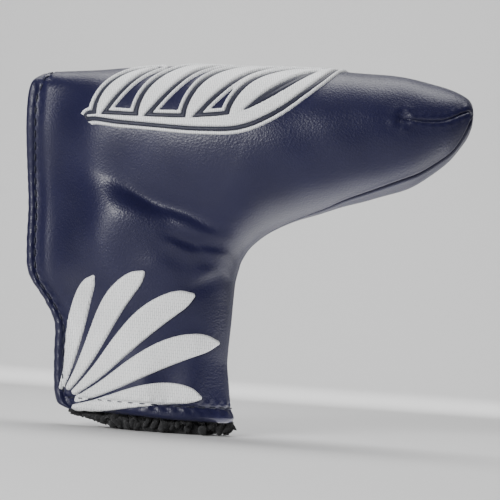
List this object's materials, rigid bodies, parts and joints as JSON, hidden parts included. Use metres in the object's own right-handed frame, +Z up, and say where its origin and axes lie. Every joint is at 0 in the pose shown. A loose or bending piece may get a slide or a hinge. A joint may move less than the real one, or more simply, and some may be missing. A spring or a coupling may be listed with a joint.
{
  "type": "putter head cover",
  "caption": "Padded leather boot with a short neck that slips over a blade putter's head, fleece lined, embroidered, with a hinged back flap closed by hook and loop.",
  "frame": {"origin": "centre of the neck's mouth, on the plane of the fleece rim that the cover stands on", "axes": "+X towards the toe, -Y is the embroidered front, +Z up from the mouth to the crown"},
  "size_m": [0.1497, 0.0474, 0.1233],
  "materials": {
    "leather": "fine-grained navy coated leather, semi-gloss",
    "foam": "open-cell padding foam",
    "fleece": "black high-pile fleece",
    "white_embroidery": "white satin-stitched rayon thread",
    "navy_embroidery": "dark navy satin-stitched rayon thread",
    "navy_thread": "bonded navy sewing thread",
    "hook_tape": "black nylon hook tape",
    "loop_tape": "black nylon loop tape"
  },
  "bodies": {
    "boot": {"boot_leather": "leather", "boot_foam": "foam", "boot_lining": "fleece", "crown_outline": "white_embroidery", "crown_ground": "navy_embroidery", "crown_fill": "white_embroidery", "neck_emblem": "white_embroidery", "seam_thread": "navy_thread", "front_dart_thread": "navy_thread", "back_dart_thread": "navy_thread", "edge_topstitch": "navy_thread", "hem_topstitch": "navy_thread", "hook_strip": "hook_tape", "hook_strip_stitching": "navy_thread"},
    "flap": {"flap_leather": "leather", "flap_foam": "foam", "flap_lining": "fleece", "flap_edge_topstitch": "navy_thread", "flap_hem_topstitch": "navy_thread", "loop_strip": "loop_tape", "loop_strip_stitching": "navy_thread"}
  },
  "joints": [
    {"name": "flap_hinge", "type": "hinge", "parent": "boot", "child": "flap", "pos_m": [-0.016, 0.0169, 0.04825], "axis": [0.5275, 0.0457, -0.8483], "range_deg": [0, 55], "stiffness_Nm_per_rad": 0.03, "springref_deg": -20.05}
  ]
}
